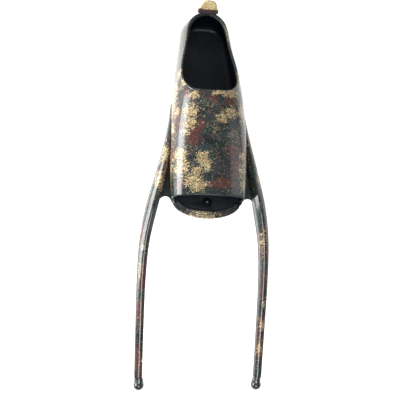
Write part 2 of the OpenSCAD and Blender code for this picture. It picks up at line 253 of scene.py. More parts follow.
# Patches on the rails, (x, distance along the rail, height, three radii)
RAIL_CREAM = {-1: [(66, -22, 10, 6, 13, 9), (60, -60, 4, 6, 14, 8), (84, 66, 6, 3, 9, 6),
                   (87, 100, 6, 3, 8, 5)],
              1: [(79, 52, 8, 4, 16, 7), (70, -32, 10, 4, 11, 6), (83, 205, 4, 3, 12, 5)]}
RAIL_MAROON = {-1: [(78, 2, 6, 6, 16, 9), (86, 40, 4, 4, 18, 8), (88, 150, 0, 4, 20, 6)],
               1: [(84, 24, 6, 5, 20, 10), (70, -12, 8, 6, 14, 9), (82, 120, 4, 4, 22, 6)]}
for side in (-1, 1):
    RAIL_CREAM[side] += [on_rail(patch_rng, 4, 9) for _ in range(8)]
    RAIL_MAROON[side] += [on_rail(patch_rng, 10, 24) for _ in range(11)]


# ---------------------------------------------------------------- meshes
def build(name, points, faces, pattern=None, fields=None, sharp=38, weld=0.0):
    """A smooth mesh piece from row-frame points in metres, with its pattern place and camouflage fields."""
    points = np.asarray(points, float).reshape(-1, 3)
    mesh = bpy.data.meshes.new(name)
    mesh.from_pydata([tuple(p) for p in points], [], [tuple(map(int, f)) for f in faces])
    pattern = points / MM if pattern is None else np.asarray(pattern, float).reshape(-1, 3)
    layer = mesh.attributes.new("place", "FLOAT_VECTOR", "POINT")
    layer.data.foreach_set("vector", (pattern / 10).astype(np.float32).ravel())
    for key, values in (fields or {}).items():
        layer = mesh.attributes.new(key, "FLOAT", "POINT")
        layer.data.foreach_set("value", np.asarray(values, np.float32).ravel())
    tidy(mesh, sharp, weld)
    obj = bpy.data.objects.new(name, mesh)
    bpy.context.scene.collection.objects.link(obj)
    return obj


def tidy(mesh, sharp, weld=0.0):
    """Welds doubles, points the faces outwards and shades smooth but for edges over sharp degrees."""
    bm = bmesh.new()
    bm.from_mesh(mesh)
    if weld:
        bmesh.ops.remove_doubles(bm, verts=bm.verts, dist=weld)
    bmesh.ops.recalc_face_normals(bm, faces=bm.faces)
    limit = math.radians(sharp)
    for face in bm.faces:
        face.smooth = True
    for edge in bm.edges:
        edge.smooth = len(edge.link_faces) != 2 or edge.calc_face_angle(0) < limit
    bm.to_mesh(mesh)
    bm.free()
    mesh.update()


def grid_faces(rows, cols, start=0, wrap=False):
    """Quads of a grid of points counted row by row; wrap joins the last column to the first."""
    i, j = np.meshgrid(np.arange(rows - 1), np.arange(cols if wrap else cols - 1), indexing="ij")
    k = (j + 1) % cols
    return (start + np.stack([i * cols + j, i * cols + k, (i + 1) * cols + k, (i + 1) * cols + j], -1)
            ).reshape(-1, 4).tolist()


def strip(first, second):
    """Quads between two lists of point numbers."""
    return [(first[i], first[i + 1], second[i + 1], second[i]) for i in range(len(first) - 1)]


def slab(rows, cols):
    """Faces of a closed sheet: its top grid of points, then its bottom grid."""
    count = rows * cols
    number = np.arange(count).reshape(rows, cols)
    faces = grid_faces(rows, cols) + grid_faces(rows, cols, count)
    for edge in (number[0], number[-1], number[:, 0], number[:, -1]):
        faces += strip(edge, edge + count)
    return faces


def tube(rings):
    """Faces of a closed skin over rings of points, its two ends closed by fans of one polygon."""
    m, n = rings.shape[:2]
    return grid_faces(m, n, wrap=True) + [list(range(n))[::-1], list(range((m - 1) * n, m * n))]


def pocket_fields(points, lining=None):
    """The camouflage fields of points in the sole's frame."""
    p = np.asarray(points, float).reshape(-1, 3)
    return {"cream": cover(p, POCKET_CREAM), "flecks": cover(p, POCKET_FLECKS),
            "maroon": cover(p, POCKET_MAROON), "lining": np.zeros(len(p)) if lining is None else lining}


def rail_fields(points, side):
    """The camouflage fields of points in the rails' frame; the other side's cream places carry flecks."""
    p = np.asarray(points, float).reshape(-1, 3)
    return {"cream": cover(p, RAIL_CREAM[side]), "flecks": 0.7 * cover(p, RAIL_CREAM[-side]),
            "maroon": cover(p, RAIL_MAROON[side]), "lining": np.zeros(len(p))}


# ---------------------------------------------------------------- the pocket's upper
ROWS = 30
HEEL_COLUMNS = 15
SIDE_COLUMNS = 22
TOE_COLUMNS = 30
HEEL_SPAN = 46.0
INNER_BASE = PLATE_T - WALL_T


def closing_station(t):
    """Where the rim of the foot opening meets the roof of the face that lies t inside."""
    s = np.linspace(120, OPENING_FRONT + 4, 2000)
    return float(s[np.argmax(curve(RIM_KNOTS, s) >= roof(s, t))])


def profile(s, t, base, low, top):
    """Points from height low up the wall to height top, evenly spaced, for one station."""
    peak = float(roof(s, t))
    power = float(upper_power(s))
    share = min(1.0, (top - BELLY_H) / (peak - BELLY_H))
    turn = np.linspace(0, math.asin(share ** (power / 2)), 300)
    upper_h = BELLY_H + (peak - BELLY_H) * np.sin(turn) ** (2 / power)
    upper_x = float(half_w(s, t)) * np.clip(np.cos(turn), 0, 1) ** (2 / power)
    lower_h = np.linspace(low, BELLY_H, 60)[:-1]
    h = np.concatenate([lower_h, upper_h])
    x = np.concatenate([wall_x(s, lower_h, t, base), upper_x])
    if share >= 1:
        x[-1] = 0
    run = np.concatenate([[0], np.cumsum(np.hypot(np.diff(x), np.diff(h)))])
    steps = np.linspace(0, run[-1], ROWS + 1)
    return np.interp(steps, run, x), np.interp(steps, run, h)


def back_station(s, h, t, base):
    """Where the heel's back face has height h."""
    up = (h - BELLY_H) / (curve(ROOF_KNOTS, s) - t - BELLY_H)
    down = (BELLY_H - h) / (BELLY_H - base)
    opened = np.clip(np.where(h >= BELLY_H, up, down), 0, 1)
    return t + HEEL_ROUND * (1 - (1 - opened ** 2.5) ** 0.4)


def half_shell(t, base, low):
    """One side of the upper's face that lies t inside: an array of columns by rows by (x, s, h)."""
    close = closing_station(t)
    _, span_h = profile(HEEL_SPAN, t, base, low, float(curve(RIM_KNOTS, HEEL_SPAN)))
    share = (span_h - low) / (span_h[-1] - low)
    columns = []
    for i in range(HEEL_COLUMNS):
        reach = (i / HEEL_COLUMNS) ** 2.2
        s = np.full(ROWS + 1, HEEL_SPAN * reach + 2.0)
        for _ in range(12):
            h = low + (curve(RIM_KNOTS, s) - low) * share
            back = back_station(s, h, t, base)
            s = back + (HEEL_SPAN - back) * reach
        x = wall_x(s, h, t, base) if i else np.zeros(ROWS + 1)
        columns.append(np.stack([x, s, h], -1))
    side = close - (close - HEEL_SPAN) * (1 - np.arange(SIDE_COLUMNS) / SIDE_COLUMNS) ** 2
    front = close + (POCKET_LEN - close) * (np.arange(TOE_COLUMNS + 1) / TOE_COLUMNS) ** 1.35
    for s in np.concatenate([side, front]):
        top = float(curve(RIM_KNOTS, s)) if s < close else float(roof(s, t))
        x, h = profile(s, t, base, low, top)
        lean = smooth(190, POCKET_LEN, s)
        columns.append(np.stack([x, s + (toe_s(h) - POCKET_LEN) * lean, h], -1))
    return np.array(columns)


def instep_relief(grid):
    """Raises the outer face a little into the soft ridges that a moulded instep has."""
    x, s, h = grid[..., 0], grid[..., 1], grid[..., 2]
    middle = smooth(150, 170, s) * (1 - smooth(255, 272, s)) * (1 - smooth(24, 36, np.abs(x)))
    ribs = 0.22 * np.sin(2 * math.pi * s / 5.5) * middle * smooth(195, 215, s) * (1 - smooth(230, 245, s))
    grid[..., 2] = h + ribs
    return grid


def upper_skin():
    outer = instep_relief(half_shell(0.0, 0.0, PLATE_T))
    inner = half_shell(WALL_T, INNER_BASE, PLATE_T)
    cols, rows = outer.shape[:2]
    count = cols * rows
    number = np.arange(count).reshape(cols, rows)
    rim_end = HEEL_COLUMNS + SIDE_COLUMNS
    faces = grid_faces(cols, rows) + grid_faces(cols, rows, count)
    faces += strip(number[:, 0], number[:, 0] + count)
    faces += strip(number[-1], number[-1] + count)
    faces += strip(number[:rim_end + 1, -1], number[:rim_end + 1, -1] + count)
    half = np.concatenate([outer.reshape(-1, 3), inner.reshape(-1, 3)])
    other = half * [-1, 1, 1]
    points = np.concatenate([half, other])
    faces += [tuple(k + 2 * count for k in reversed(f)) for f in faces]
    lining = np.tile(np.repeat([0.0, 1.0], count), 2)
    obj = build("upper_skin", on_sole(*points.T), faces, points,
                pocket_fields(points, lining), sharp=50, weld=1e-7)
    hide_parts("upper_shell", "heel_counter")
    return obj


# ---------------------------------------------------------------- beads round the openings
def even(points, count, closed=False):
    """The same line with count evenly spaced points."""
    p = np.asarray(points, float)
    if closed:
        p = np.concatenate([p, p[:1]])
    run = np.concatenate([[0], np.cumsum(np.linalg.norm(np.diff(p, axis=0), axis=1))])
    at = np.linspace(0, run[-1], count + 1)[:-1] if closed else np.linspace(0, run[-1], count)
    return np.stack([np.interp(at, run, p[:, k]) for k in range(3)], -1)


def bead_rings(line, radius, closed, sides=14, up=(0.0, -0.2, 1.0)):
    """Rings of points round a line in the sole's frame; radius is one number or one for each point."""
    line = np.asarray(line, float)
    if closed:
        ahead = np.roll(line, -1, 0) - np.roll(line, 1, 0)
    else:
        ahead = np.gradient(line, axis=0)
    ahead /= np.linalg.norm(ahead, axis=1)[:, None]
    across = np.cross(ahead, np.asarray(up))
    across /= np.linalg.norm(across, axis=1)[:, None]
    rise = np.cross(across, ahead)
    turn = 2 * np.pi * np.arange(sides) / sides
    radius = np.broadcast_to(radius, len(line))[:, None, None]
    offset = np.cos(turn)[None, :, None] * across[:, None] + np.sin(turn)[None, :, None] * rise[:, None]
    return line[:, None] + radius * offset


def rim_line():
    """The middle line of the rim of the foot opening, in the sole's frame."""
    t = WALL_T / 2
    start = float(curve(RIM_KNOTS, 6))
    opened = (start - BELLY_H) / (float(curve(ROOF_KNOTS, 6)) - t - BELLY_H)
    back = t + HEEL_ROUND * (1 - (1 - opened ** 2.5) ** 0.4)
    s = back + (OPENING_FRONT - back) * (1 - np.cos(np.linspace(0, np.pi, 500))) / 2
    h = np.minimum(curve(RIM_KNOTS, s), roof(s, t))
    x = wall_x(s, h, t)
    x[0] = x[-1] = 0
    right = np.stack([x, s, h], -1)
    left = right[-2:0:-1] * [-1, 1, 1]
    return even(np.concatenate([right, left]), 180, closed=True)


def rim_skin():
    line = rim_line()
    radius = 2.0 + 0.9 * (1 - smooth(10, 60, line[:, 1]))
    rings = bead_rings(line, radius, closed=True)
    sideways = rings[..., 0] * np.sign(line[:, 0])[:, None] - np.abs(line[:, 0])[:, None]
    inward = np.where(np.abs(line[:, 0])[:, None] > 6, -sideways / radius[:, None],
                      np.sign(rings[..., 1] - line[:, 1][:, None]) * np.sign(70 - line[:, 1])[:, None])
    n, sides = rings.shape[:2]
    faces = grid_faces(n, sides, wrap=True) + [
        ((n - 1) * sides + j, (n - 1) * sides + (j + 1) % sides, (j + 1) % sides, j) for j in range(sides)]
    points = rings.reshape(-1, 3)
    lining = np.maximum(smooth(-0.1, 0.7, inward).ravel(), 0.75 * (1 - smooth(14, 40, points[:, 1])))
    obj = build("rim_skin", on_sole(*points.T), faces, points,
                pocket_fields(points, lining))
    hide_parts("opening_rim", "heel_rim")
    return obj


def toe_lip_skin():
    front, t = POCKET_LEN - 1.0, WALL_T / 2
    x, h = profile(front, t, 0.0, PLATE_T + 1.5, float(roof(front, t)))
    right = np.stack([x, toe_s(h), h], -1)
    line = even(np.concatenate([right, right[-2::-1] * [-1, 1, 1]]), 110)
    ends = np.minimum(np.arange(110), np.arange(110)[::-1])
    rings = bead_rings(line, 1.7 * np.clip(0.55 + 0.09 * ends, 0, 1), closed=False, up=(0.0, 1.0, 0.05))
    points = rings.reshape(-1, 3)
    obj = build("toe_lip_skin", on_sole(*points.T), tube(rings), points,
                pocket_fields(points, smooth(0.2, 1.6, points[:, 1] - toe_s(points[:, 2]))))
    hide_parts("toe_lip")
    return obj


# ---------------------------------------------------------------- rails
# A rail's outline: (across from the inner to the outer face, height share, rounding)
RAIL_TOP = [(0.0, 0.34, 0.7), (0.05, 0.70, 0.8), (0.40, 1.0, 0.9), (0.60, 0.95, 1.6), (0.97, 0.62, 1.2),
            (1.0, 0.36, 0.7), (0.94, 0.27, 0.5)]


def rounded(corners, cut):
    """The outline with each corner replaced by three points of a small curve."""
    before = np.roll(corners, 1, 0) - corners
    after = np.roll(corners, -1, 0) - corners
    gap_a = np.linalg.norm(before, axis=1)[:, None] + 1e-9
    gap_b = np.linalg.norm(after, axis=1)[:, None] + 1e-9
    first = corners + before / gap_a * np.minimum(cut[:, None], 0.45 * gap_a)
    last = corners + after / gap_b * np.minimum(cut[:, None], 0.45 * gap_b)
    middle = 0.25 * first + 0.5 * corners + 0.25 * last
    return np.stack([first, middle, last], 1).reshape(-1, 2)


def rail_outline(r):
    """The rail's outline at distance r, as (x, z) points in the rails' frame."""
    width, tall = float(curve(WIDTH_KNOTS, r)), float(curve(HEIGHT_KNOTS, r))
    inner, mid = float(rail_inner(r)), float(rail_mid(r))
    depth = 0.3 + (GROOVE_D - 0.3) * float(smooth(-4, 8, r)) * float(1 - smooth(246, 252, r))
    slot = min(SLOT_H / 2, 0.28 * tall)
    top = [(inner + u * width, v * tall / 2, c) for u, v, c in RAIL_TOP]
    low = [(x, -z, c) for x, z, c in reversed(top)]
    groove = [(inner, -slot, 0.4), (inner + depth, -slot, 0.3),
              (inner + depth, slot, 0.3), (inner, slot, 0.4)]
    corners = np.array(top + low + groove)
    outline = rounded(corners[:, :2], corners[:, 2])
    outline[:, 1] += mid
    return outline


NECK_R = 6.3
BODY_END = 246.0
OUTLINE_END = 256.0
TIP_SET = 0.8
ROOT_END = 6.0
ROOT_DEPTH = 1.6


def rail_rings():
    """Rings along a right-hand rail from its root in the pocket's side to its round end."""
    body = np.concatenate([np.arange(-ROOT_LEN, 0, 4.5), np.arange(0, 40, 2.5), np.arange(40, BODY_END, 4.5)])
    neck = np.linspace(BODY_END, TIP_R - BULB_R * 0.62, 9)
    ball = TIP_R + BULB_R * np.sin(np.radians(np.linspace(-34, 88, 16)))
    rings = []
    for r in np.concatenate([body, neck, ball]):
        ring = rail_outline(min(r, OUTLINE_END))
        round_share = float(smooth(247, 253.5, r))
        if round_share > 0:
            centre = float(rail_outer(TIP_R)) - BULB_R + TIP_SET
            ball_r = math.sqrt(max(BULB_R ** 2 - (r - TIP_R) ** 2, 0.01))
            radius = max(ball_r, NECK_R) if r < TIP_R else ball_r
            turn = 0.93 * math.pi - 2 * math.pi * np.arange(len(ring)) / len(ring)
            circle = np.stack([centre + radius * np.cos(turn), radius * np.sin(turn)], -1)
            ring = ring * (1 - round_share) + circle * round_share
        rings.append(np.column_stack([ring[:, 0], np.full(len(ring), r), ring[:, 1]]))
    rings = np.array(rings)
    _, s, h = to_sole(on_rails(rings[..., 0], rings[..., 1], rings[..., 2]))
    buried = wall_x(np.clip(s, 2, 400), h, 0) - ROOT_DEPTH
    rooted = rings[..., 1] < ROOT_END
    rings[..., 0] = np.where(rooted, np.maximum(rings[..., 0], buried), rings[..., 0])
    return rings


def side_pattern(points, side):
    """The pattern's place on a rail or web, far from the pocket's and different on the two sides."""
    return points + [200 + 90 * side, 0, 0]


def rail_skin(side, name):
    rings = rail_rings()
    points = rings.reshape(-1, 3)
    placed = on_rails(side * points[:, 0], points[:, 1], points[:, 2])
    obj = build(f"{name}_rail_skin", placed, tube(rings), side_pattern(points, side),
                rail_fields(points, side), sharp=60)
    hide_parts(f"{name}_rail_root", f"{name}_rail", f"{name}_rail_tip")
    return obj


# ---------------------------------------------------------------- webs, bumper, tab
ARCH_X = 56.5
ARCH_R = 8.5
ARCH_START = 8.0


def web_skin(side, name):
    """The trough between the pocket's side and a rail, its front edge cut to a round arch."""
    cols, rows = 22, 26
    across = np.linspace(0, 1, cols)
    top, bottom = [], []
    for i in range(rows):
        r0 = -WEB_LEN + (WEB_LEN + ARCH_START) * (i / (rows - 1)) ** 0.9
        z0 = float(rail_mid(r0)) + 8 * r0 / WEB_LEN
        _, s, h = to_sole(on_rails(0.0, r0, z0))
        wall = float(wall_x(min(float(s), 275.0), float(h), 0)) if s < 275 else float(flank(276, 0))
        left = wall - 1.4 - 1.5 * float(smooth(273, 280, s))
        right = max(float(rail_inner(r0)) + 1.2, left + 0.6)
        x = left + (right - left) * across
        width = right - left
        lift = min(3.2, 0.22 * width) * (2 * np.abs(across - 0.5)) ** 2.6
        z = z0 + WEB_T / 2 + lift
        late = smooth(-14, ARCH_START, r0)
        notch = np.sqrt(np.clip(ARCH_R ** 2 - (x - ARCH_X) ** 2, 0, None))
        r = r0 - late * notch
        z = z - 1.2 * late * (notch / ARCH_R)
        top.append(np.stack([x, r, z], -1))
        bottom.append(np.stack([x, r, np.full(cols, z0 - WEB_T / 2) + 1.0 * late * (notch / ARCH_R)], -1))
    top, bottom = np.array(top), np.array(bottom)
    points = np.concatenate([top.reshape(-1, 3), bottom.reshape(-1, 3)])
    placed = on_rails(side * points[:, 0], points[:, 1], points[:, 2])
    obj = build(f"{name}_web_skin", placed, slab(rows, cols), side_pattern(points, side),
                sharp=50)
    bevel(obj, 1.1, 3, 50)
    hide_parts(f"{name}_web")
    return obj


def bevel(obj, width, segments=2, angle=35):
    """Rounds the edges sharper than angle, as a modifier applied to the mesh."""
    m = obj.modifiers.new("round", "BEVEL")
    m.width = width * MM
    m.segments = segments
    m.limit_method = "ANGLE"
    m.angle_limit = math.radians(angle)
    m.harden_normals = False
    apply_modifiers(obj)
    for face in obj.data.polygons:
        face.use_smooth = True


def apply_modifiers(obj):
    bpy.context.view_layer.update()
    mesh = bpy.data.meshes.new_from_object(obj.evaluated_get(bpy.context.evaluated_depsgraph_get()))
    obj.modifiers.clear()
    obj.data = mesh


# The bumper's outline: (distance in from the outer edge, height over the sole's underside)
BUMPER = [(0.0, 0.4), (0.0, 3.6), (0.5, 4.3), (1.3, 4.4), (1.6, 3.9), (2.0, 4.0), (2.1, 5.4), (2.6, 6.1),
          (3.4, 6.2), (3.7, 5.7), (4.1, 5.8), (4.2, 7.2), (4.8, 8.0), (5.5, 8.1), (5.8, 7.6), (6.1, 7.7),
          (6.2, 8.8), (6.7, 9.3), (7.4, 9.2), (7.9, 8.4), (8.0, 6.0), (8.0, 0.4)]


def tongue_point(turn, inset):
    """A point of the tongue's edge, inset from it; turn runs from the right flank to the left one."""
    reach = flank(POCKET_LEN, 0) - inset
    return reach * np.cos(turn), POCKET_LEN + (TONGUE_LEN - inset) * np.sin(turn)


def toe_bumper_skin():
    """The layered rim round the tongue, lower where it meets the flanks."""
    peak = max(h for _, h in BUMPER)
    rings = []
    for turn in np.linspace(0, np.pi, 72):
        sink = 2.6 * (1 - float(smooth(0, 0.30, min(turn, np.pi - turn))))
        ring = []
        for inset, h in BUMPER:
            x, s = tongue_point(turn, inset)
            ring.append((float(x), float(s), max(h - sink * (h / peak), 0.2)))
        rings.append(ring)
    rings = np.array(rings)
    points = rings.reshape(-1, 3)
    obj = build("toe_bumper_skin", on_sole(*points.T), tube(rings), points + [0, 300, 60],
                bumper_fields(points), sharp=55)
    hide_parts("toe_bumper")
    return obj


def bumper_fields(points):
    """Cream flecks at the tongue's front, maroon to the right of them."""
    middle = np.exp(-((points[:, 0] + 6) / 26) ** 2)
    front = smooth(285, 297, points[:, 1])
    return {"cream": 0.62 * middle * front, "flecks": 0.9 * middle * front,
            "maroon": 0.5 * np.exp(-((points[:, 0] - 24) / 12) ** 2) * front, "lining": 0.35 * (1 - front)}


TAB_LEAN = math.radians(16)
TAB_W = 26.0
TAB_LEN = 18.0
TAB_MIDDLE = 7.5
TAB_FOOT = 11.4
TAB_CURL = 0.9
# The tab's hinge line in the sole's frame: distance from the heel, and height
TAB_BACK = 5.727
TAB_H = 53.639
# The tab's edge across its thickness: (distance from its middle plane, inset)
TAB_EDGE = [(-2.0, 2.2), (-1.9, 1.2), (-1.5, 0.5), (-0.8, 0.1), (0.0, 0.0),
            (0.8, 0.1), (1.5, 0.5), (1.9, 1.2), (2.0, 2.2)]


def tab_outline(inset, count=72):
    """The tab's front view, inset from its edge, as (x, height) points."""
    turn = 2 * np.pi * np.arange(count) / count
    low = np.sin(turn) < 0
    wide = np.sign(np.cos(turn)) * np.abs(np.cos(turn)) ** np.where(low, 0.35, 0.62) * (TAB_W / 2 - inset)
    high = np.sign(np.sin(turn)) * np.abs(np.sin(turn)) ** np.where(low, 0.35, 0.78)
    z = TAB_MIDDLE + high * (np.where(high > 0, TAB_LEN - TAB_MIDDLE, TAB_FOOT) - inset)
    return wide * (1 - 0.16 * smooth(1, TAB_LEN, z) + 0.20 * (1 - smooth(-1, 8, z))), z


def pull_tab_skin():
    """The tab, built up of outlines through its thickness; its two faces are a little dished."""
    edge = [(y, inset, 1.0) for y, inset in TAB_EDGE]
    face = [(2.0 - 0.35 * k / 3, 2.2, 1 - k / 4) for k in range(1, 4)]
    layers = [(-y, inset, scale) for y, inset, scale in reversed(face)] + edge + face
    rings = []
    for y, inset, scale in layers:
        x, z = tab_outline(inset)
        z = TAB_MIDDLE + (z - TAB_MIDDLE) * scale
        x = x * scale
        y = np.full(len(x), y) + TAB_CURL * (z / TAB_LEN) ** 2
        y = y * (1 + 0.55 * (1 - smooth(-2, 5, z)))
        back = y * math.cos(TAB_LEAN) + z * math.sin(TAB_LEAN)
        rise = -y * math.sin(TAB_LEAN) + z * math.cos(TAB_LEAN)
        rings.append(np.stack([x, TAB_BACK - back, TAB_H + rise], -1))
    rings = np.array(rings)
    points = rings.reshape(-1, 3)
    foot = {"lining": 1 - smooth(TAB_H + 3, TAB_H + 7, points[:, 2])}
    obj = build("pull_tab_skin", on_sole(*points.T), tube(rings), points, foot, sharp=60)
    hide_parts("heel_pull_tab")
    return obj


# ---------------------------------------------------------------- footbed and sole
BED_START = 6.2
BED_LEN = 255.5


def footbed_skin():
    """The inner sole, a little dished, with a raised line along its edge."""
    rows, cols = 90, 33
    across = np.sin(np.linspace(-1, 1, cols) * np.pi / 2)
    top = []
    for i in range(rows):
        s = BED_START + BED_LEN * (1 - math.cos(math.pi * i / (rows - 1))) / 2
        edge = float(wall_x(max(s, 4.5), PLATE_T + BED_T, WALL_T, INNER_BASE)) - 0.4
        edge = max(edge, 2.0)
        x = edge * across
        welt = 0.8 * np.exp(-((np.abs(across) - 0.90) / 0.045) ** 2) * min(1, edge / 20)
        dish = -0.5 * (1 - across ** 2)
        top.append(np.stack([x, np.full(cols, s), PLATE_T + BED_T + welt + dish], -1))
    top = np.array(top)
    bottom = top.copy()
    bottom[..., 2] = PLATE_T + 0.1
    points = np.concatenate([top.reshape(-1, 3), bottom.reshape(-1, 3)])
    obj = build("footbed_skin", on_sole(*points.T), slab(rows, cols), points, sharp=50)
    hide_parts("footbed")
    return obj


def softened(node, width, segments=2):
    """The CAD node with its edges rounded as a moulding's are."""
    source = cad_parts[node]
    mesh = source.data.copy()
    obj = bpy.data.objects.new(node + "_skin", mesh)
    mesh.materials.clear()
    bpy.context.scene.collection.objects.link(obj)
    bm = bmesh.new()
    bm.from_mesh(mesh)
    bmesh.ops.remove_doubles(bm, verts=bm.verts, dist=2e-6)
    bmesh.ops.dissolve_limit(bm, angle_limit=math.radians(1.0), verts=bm.verts, edges=bm.edges)
    bm.to_mesh(mesh)
    bm.free()
    bevel(obj, width, segments)
    mesh = obj.data
    tidy(mesh, 40)
    co = np.array([v.co for v in mesh.vertices], float)
    layer = mesh.attributes.new("place", "FLOAT_VECTOR", "POINT")
    layer.data.foreach_set("vector", (co / MM / 10).astype(np.float32).ravel())
    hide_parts(node)
    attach(obj, "pocket")
    return obj


# ---------------------------------------------------------------- materials
class Nodes:
    """A short way to write a node tree."""

    def __init__(self, name):
        self.material = bpy.data.materials.new(name)
        self.material.use_nodes = True
        self.tree = self.material.node_tree
        self.shader = self.tree.nodes["Principled BSDF"]

    def put(self, node, key, value):
        socket = node.inputs[key]
        if isinstance(value, bpy.types.NodeSocket):
            self.tree.links.new(value, socket)
        else:
            socket.default_value = value

    def add(self, kind, out, **inputs):
        node = self.tree.nodes.new(kind)
        for key, value in inputs.items():
            self.put(node, key.replace("_", " "), value)
        return node.outputs[out]

    def attribute(self, name, out="Fac"):
        node = self.tree.nodes.new("ShaderNodeAttribute")
        node.attribute_name = name
        return node.outputs[out]

    def noise(self, place, scale, detail=4.0, rough=0.5, warp=0.0, out="Fac"):
        return self.add("ShaderNodeTexNoise", out, Vector=place, Scale=scale, Detail=detail,
                        Roughness=rough, Distortion=warp)

    def cells(self, place, scale):
        return self.add("ShaderNodeTexVoronoi", "Distance", Vector=place, Scale=scale)

    def math(self, kind, a, b):
        node = self.tree.nodes.new("ShaderNodeMath")
        node.operation = kind
        self.put(node, 0, a)
        self.put(node, 1, b)
        return node.outputs[0]

    def about_zero(self, noise):
        """A noise with its middle moved from 0.5 to 0."""
        return self.math("SUBTRACT", noise, 0.5)

    def move(self, place, amount, scale, detail=3.0):
        """The place shifted by a noise, for edges that wander."""
        shift = self.noise(place, scale, detail, 0.6, out="Color")
        centred = self.vector("SUBTRACT", shift, (0.5, 0.5, 0.5))
        grown = self.vector("SCALE", centred, scale=amount)
        return self.vector("ADD", place, grown)

    def vector(self, kind, a, b=None, scale=None):
        node = self.tree.nodes.new("ShaderNodeVectorMath")
        node.operation = kind
        self.put(node, 0, a)
        if b is not None:
            self.put(node, 1, b)
        if scale is not None:
            self.put(node, "Scale", scale)
        return node.outputs[0]

    def step(self, value, low, high):
        """0 below low and 1 above high, smooth between them."""
        node = self.tree.nodes.new("ShaderNodeMapRange")
        node.interpolation_type = "SMOOTHSTEP"
        self.put(node, "Value", value)
        self.put(node, "From Min", low)
        self.put(node, "From Max", high)
        return node.outputs[0]

    def mix(self, share, a, b):
        node = self.tree.nodes.new("ShaderNodeMix")
        node.data_type = "RGBA"
        for key, value in (("Factor", share), ("A", a), ("B", b)):
            socket = [i for i in node.inputs if i.name == key and i.enabled][0]
            if isinstance(value, bpy.types.NodeSocket):
                self.tree.links.new(value, socket)
            else:
                socket.default_value = (*value, 1.0) if key != "Factor" else value
        return [o for o in node.outputs if o.enabled][0]

    def bump(self, height, strength, distance, normal=None):
        node = self.tree.nodes.new("ShaderNodeBump")
        self.put(node, "Height", height)
        node.inputs["Strength"].default_value = strength
        node.inputs["Distance"].default_value = distance
        if normal is not None:
            self.put(node, "Normal", normal)
        return node.outputs[0]

    def finish(self, **inputs):
        for key, value in inputs.items():
            self.put(self.shader, key.replace("_", " "), value)
        return self.material


TEAL_BLACK = (0.004, 0.010, 0.012)
TEAL_GREY = (0.020, 0.040, 0.043)
PURPLE_GREY = (0.050, 0.036, 0.040)
OLIVE = (0.085, 0.088, 0.062)
MAROON = (0.150, 0.050, 0.038)
MAROON_DARK = (0.075, 0.024, 0.022)
CREAM = (0.88, 0.74, 0.42)
TAN = (0.60, 0.38, 0.16)
BARK = (0.085, 0.058, 0.034)
GREY_GREEN = (0.42, 0.42, 0.30)
LINING = (0.0015, 0.004, 0.006)


def camo_ground(n, wander, torn):
    """The dark ground: teal-black with grey-green, brown and olive clouds and fine streaks."""
    clouds = n.noise(wander, 0.65, 5.0, 0.6, 0.6)
    ground = n.mix(n.step(clouds, 0.40, 0.58), TEAL_BLACK, TEAL_GREY)
    ground = n.mix(n.step(n.noise(wander, 0.95, 4.0, 0.6, 0.4), 0.50, 0.62), ground, PURPLE_GREY)
    streaks = n.noise(n.vector("MULTIPLY", torn, (0.6, 1.0, 1.0)), 5.5, 4.0, 0.75, 1.2)
    ground = n.mix(n.math("MULTIPLY", n.step(streaks, 0.52, 0.64), 0.65), ground, OLIVE)
    return n.mix(n.math("MULTIPLY", n.step(streaks, 0.46, 0.34), 0.7), ground, TEAL_BLACK)


def camo_maroon(n, torn, colour):
    """Maroon clouds with soft, speckled edges over the colour."""
    blot = n.about_zero(n.noise(torn, 1.5, 6.0, 0.7, 0.5))
    edge = n.math("ADD", n.attribute("maroon"), n.math("MULTIPLY", blot, 2.0))
    tone = n.mix(n.step(n.noise(torn, 3.4, 5.0, 0.7), 0.40, 0.62), MAROON_DARK, MAROON)
    return n.mix(n.math("MULTIPLY", n.step(edge, 0.34, 0.74), 0.75), colour, tone)


def camo_cream(n, torn, colour):
    """Cream patches torn into flakes, over sparse grey-green flecks: (colour, share of cream)."""
    flakes = n.vector("MULTIPLY", torn, (0.75, 1.15, 1.15))
    jag = n.about_zero(n.noise(flakes, 1.7, 6.0, 0.78, 1.0))
    fine = n.about_zero(n.noise(flakes, 3.7, 3.0, 0.75, 1.8))
    breakup = n.math("ADD", n.math("MULTIPLY", jag, 2.2), n.math("MULTIPLY", fine, 3.0))
    cream_share = n.step(n.math("ADD", n.attribute("cream"), breakup), 0.50, 0.62)
    speckle = n.math("ADD", n.math("MULTIPLY", jag, 0.8), n.math("MULTIPLY", fine, 3.2))
    fleck_edge = n.math("ADD", n.math("MULTIPLY", n.attribute("flecks"), 0.30), speckle)
    fleck_share = n.math("MULTIPLY", n.step(fleck_edge, 0.44, 0.60), 0.85)
    body = n.step(n.noise(torn, 3.6, 6.0, 0.75, 1.0), 0.42, 0.62)
    tone = n.mix(body, CREAM, TAN)
    tone = n.mix(n.math("MULTIPLY", n.step(fine, 0.07, -0.02), 0.85), tone, BARK)
    colour = n.mix(fleck_share, colour, n.mix(body, GREY_GREEN, TAN))
    return n.mix(cream_share, colour, tone), cream_share


def camo_gloss(n, place, cream_share):
    """Roughness and relief of the moulded face: haze, scuffs, shallow dents, print edges and grain."""
    haze = n.noise(place, 0.5, 4.0, 0.6)
    scuffs = n.step(n.noise(n.vector("MULTIPLY", place, (1.0, 0.12, 1.0)), 16.0, 3.0, 0.7), 0.60, 0.80)
    rough = n.math("ADD", n.math("MULTIPLY", haze, 0.18), n.math("MULTIPLY", scuffs, 0.10))
    rough = n.math("ADD", rough, n.math("MULTIPLY", n.attribute("lining"), 0.25))
    normal = n.bump(n.noise(place, 1.2, 3.0, 0.5), 0.16, 0.0012)
    normal = n.bump(cream_share, 0.12, 0.0002, normal)
    normal = n.bump(n.noise(place, 42.0, 3.0, 0.6), 0.20, 0.00012, normal)
    return n.math("ADD", rough, 0.10), normal


